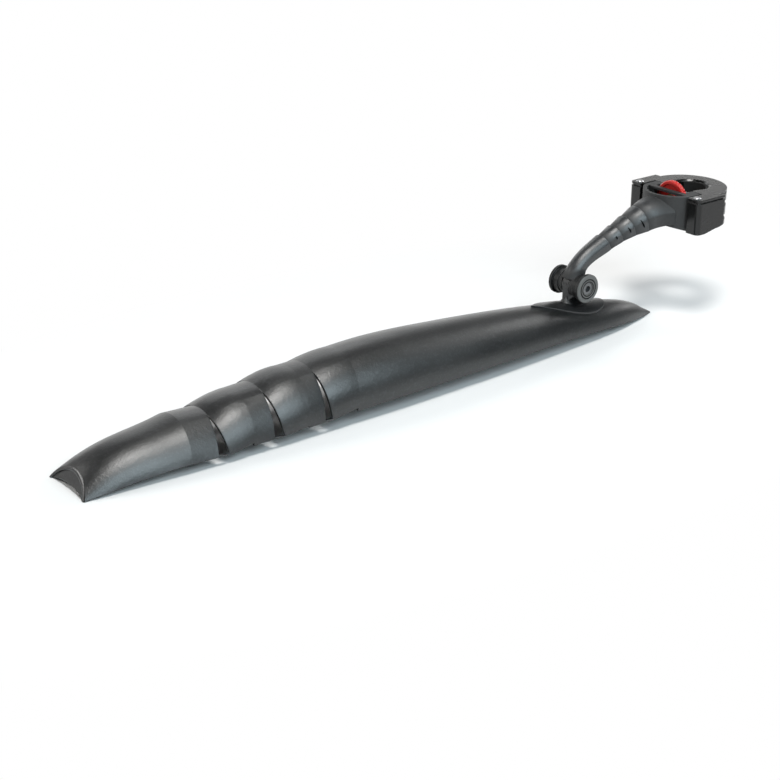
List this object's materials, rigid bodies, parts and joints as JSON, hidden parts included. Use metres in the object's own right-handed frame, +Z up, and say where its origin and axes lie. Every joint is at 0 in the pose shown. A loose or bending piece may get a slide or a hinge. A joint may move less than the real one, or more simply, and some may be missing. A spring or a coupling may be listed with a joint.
{
  "type": "bicycle mudguard",
  "caption": "Clip-on rear bicycle mudguard: a long gilled plastic blade on a tilting arm with a screw clamp for a seatpost.",
  "frame": {"origin": "on the axis of the seatpost, half way up the clamp", "axes": "+Z up along the seatpost; +X from the rear end of the blade towards the clamp"},
  "size_m": [0.6294, 0.08, 0.1145],
  "materials": {
    "blade_plastic": "fine-grained matte black moulding",
    "base_plastic": "satin black moulding",
    "arm_plastic": "satin dark grey moulding",
    "yoke_plastic": "semi-gloss black moulding",
    "wheel_red": "bright red gloss moulding",
    "steel": "zinc-plated steel",
    "dark_steel": "dull grey phosphated steel",
    "brass": "turned brass",
    "rubber": "matte black rubber",
    "disc_nylon": "natural nylon"
  },
  "bodies": {
    "clamp": {"arm": "arm_plastic", "clamp_yoke": "yoke_plastic", "yoke_liner": "rubber", "ear_pins": "steel", "hinge_bolt": "dark_steel", "hinge_nut": "dark_steel", "near_knob": "base_plastic", "far_knob": "base_plastic"},
    "guard": {"blade": "blade_plastic", "pivot_base": "base_plastic", "base_screws": "steel", "base_washers": "steel", "friction_discs": "disc_nylon"},
    "wheel": {"thumbwheel": "wheel_red", "wheel_insert": "brass"},
    "pusher": {"clamp_stud": "steel", "jaw": "yoke_plastic", "jaw_pad": "rubber"}
  },
  "joints": [
    {"name": "blade_tilt", "type": "hinge", "parent": "clamp", "child": "guard", "pos_m": [-0.133, 0, -0.046], "axis": [0, 1, 0], "range_deg": [-35, 35]},
    {"name": "wheel_spin", "type": "hinge", "parent": "clamp", "child": "wheel", "pos_m": [-0.021, 0, 0.0055], "axis": [1, 0, 0], "range_deg": [0, 750]},
    {"name": "jaw_slide", "type": "slide", "parent": "clamp", "child": "pusher", "axis": [1, 0, 0], "range_m": [0, 0.00521]}
  ],
  "couplings": [
    {"joint": "jaw_slide", "follows": "wheel_spin", "m_per_rad": 0.00039789}
  ]
}
